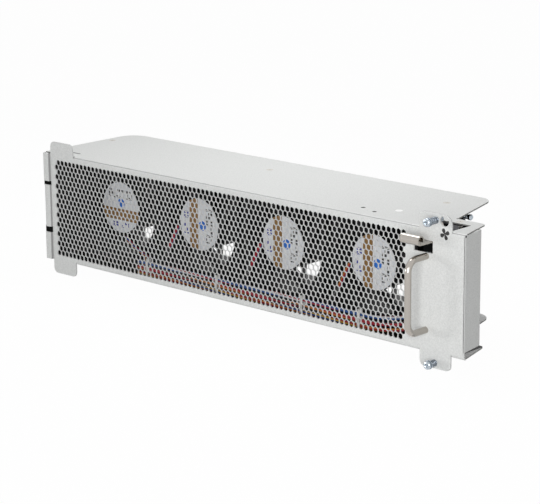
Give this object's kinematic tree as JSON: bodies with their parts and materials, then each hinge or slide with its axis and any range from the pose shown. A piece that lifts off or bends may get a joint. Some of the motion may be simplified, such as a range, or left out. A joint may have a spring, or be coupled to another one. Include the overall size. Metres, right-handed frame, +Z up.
{
  "type": "switch fan tray",
  "caption": "Slide-in tray of axial fans behind a hexagonal grille, with mounting ears, spring-loaded captive screws, a bow handle and a release lever.",
  "frame": {"origin": "middle of the footprint, at the foot of the lower ears", "axes": "+X along the front panel to the right, +Y into the chassis, +Z up"},
  "size_m": [0.4256, 0.119, 0.109],
  "materials": {
    "panel_finish": "light grey, fine grained, satin",
    "bracket_finish": "plain zinc-plated sheet",
    "bright_nickel": "bright plated, slightly soft reflections",
    "zinc_screws": "bluish zinc plate",
    "spring_steel": "drawn wire",
    "black_plastic": "matt black",
    "fan_plastic": "satin black",
    "bearing_steel": "ground",
    "stator_windings": "enamelled copper on laminated steel",
    "rotor_magnet": "matt bonded magnet",
    "label_film": "silver printed film",
    "lead_insulation": "satin insulation",
    "harness_insulation": "satin insulation, several colours",
    "tie_nylon": "natural nylon"
  },
  "bodies": {
    "tray": {"front_panel": "panel_finish", "top_cover": "panel_finish", "bottom_cover": "panel_finish", "left_side_wall": "panel_finish", "right_side_wall": "panel_finish", "fan_bracket": "bracket_finish", "latch_bracket": "bracket_finish", "handle": "bright_nickel", "top_screws": "zinc_screws", "bottom_screws": "zinc_screws", "handle_screws": "zinc_screws", "guide_screw": "zinc_screws", "connector_screws": "zinc_screws", "fan_screws": "zinc_screws", "latch_pivot_pin": "zinc_screws", "latch_spring": "spring_steel", "captive_spring_upper": "spring_steel", "captive_spring_lower": "spring_steel", "rear_connector": "black_plastic", "harness_liner": "black_plastic", "harness_trunk": "harness_insulation", "cable_ties": "tie_nylon", "fan_1_frame": "fan_plastic", "fan_1_bearings": "bearing_steel", "fan_1_stator": "stator_windings", "fan_1_label": "label_film", "fan_1_lead": "lead_insulation", "fan_2_frame": "fan_plastic", "fan_2_bearings": "bearing_steel", "fan_2_stator": "stator_windings", "fan_2_label": "label_film", "fan_2_lead": "lead_insulation", "fan_3_frame": "fan_plastic", "fan_3_bearings": "bearing_steel", "fan_3_stator": "stator_windings", "fan_3_label": "label_film", "fan_3_lead": "lead_insulation", "fan_4_frame": "fan_plastic", "fan_4_bearings": "bearing_steel", "fan_4_stator": "stator_windings", "fan_4_label": "label_film", "fan_4_lead": "lead_insulation"},
    "rotor_1": {"fan_1_rotor": "fan_plastic", "fan_1_shaft": "bearing_steel", "fan_1_magnet": "rotor_magnet"},
    "rotor_2": {"fan_2_rotor": "fan_plastic", "fan_2_shaft": "bearing_steel", "fan_2_magnet": "rotor_magnet"},
    "rotor_3": {"fan_3_rotor": "fan_plastic", "fan_3_shaft": "bearing_steel", "fan_3_magnet": "rotor_magnet"},
    "rotor_4": {"fan_4_rotor": "fan_plastic", "fan_4_shaft": "bearing_steel", "fan_4_magnet": "rotor_magnet"},
    "captive_upper_slider": {"captive_washer_upper": "zinc_screws"},
    "captive_upper_screw": {"captive_screw_upper": "zinc_screws"},
    "captive_lower_slider": {"captive_washer_lower": "zinc_screws"},
    "captive_lower_screw": {"captive_screw_lower": "zinc_screws"},
    "lever": {"latch_lever": "bright_nickel"}
  },
  "joints": [
    {"name": "fan_1_spin", "type": "hinge", "parent": "tray", "child": "rotor_1", "pos_m": [-0.16025, 0.0158, 0.05425], "axis": [0, 1, 0], "continuous": true},
    {"name": "fan_2_spin", "type": "hinge", "parent": "tray", "child": "rotor_2", "pos_m": [-0.07195, 0.0158, 0.05425], "axis": [0, 1, 0], "continuous": true},
    {"name": "fan_3_spin", "type": "hinge", "parent": "tray", "child": "rotor_3", "pos_m": [0.01635, 0.0158, 0.05425], "axis": [0, 1, 0], "continuous": true},
    {"name": "fan_4_spin", "type": "hinge", "parent": "tray", "child": "rotor_4", "pos_m": [0.10465, 0.0158, 0.05425], "axis": [0, 1, 0], "continuous": true},
    {"name": "captive_upper_push", "type": "slide", "parent": "tray", "child": "captive_upper_slider", "axis": [0, 1, 0], "range_m": [0, 0.0055], "stiffness_N_per_m": 200, "springref_m": -0.001, "deforming": ["captive_spring_upper"]},
    {"name": "captive_upper_turn", "type": "hinge", "parent": "captive_upper_slider", "child": "captive_upper_screw", "pos_m": [0.18775, -0.0377, 0.1043], "axis": [0, 1, 0], "continuous": true},
    {"name": "captive_lower_push", "type": "slide", "parent": "tray", "child": "captive_lower_slider", "axis": [0, 1, 0], "range_m": [0, 0.0032], "stiffness_N_per_m": 200, "springref_m": -0.001, "deforming": ["captive_spring_lower"]},
    {"name": "captive_lower_turn", "type": "hinge", "parent": "captive_lower_slider", "child": "captive_lower_screw", "pos_m": [0.18775, -0.0377, 0.0041], "axis": [0, 1, 0], "continuous": true},
    {"name": "latch_press", "type": "hinge", "parent": "tray", "child": "lever", "pos_m": [0.17665, -0.0107, 0.09045], "axis": [1, 0, 0], "range_deg": [0, 10], "stiffness_Nm_per_rad": 0.1, "springref_deg": -5.73, "deforming": ["latch_spring"]}
  ]
}
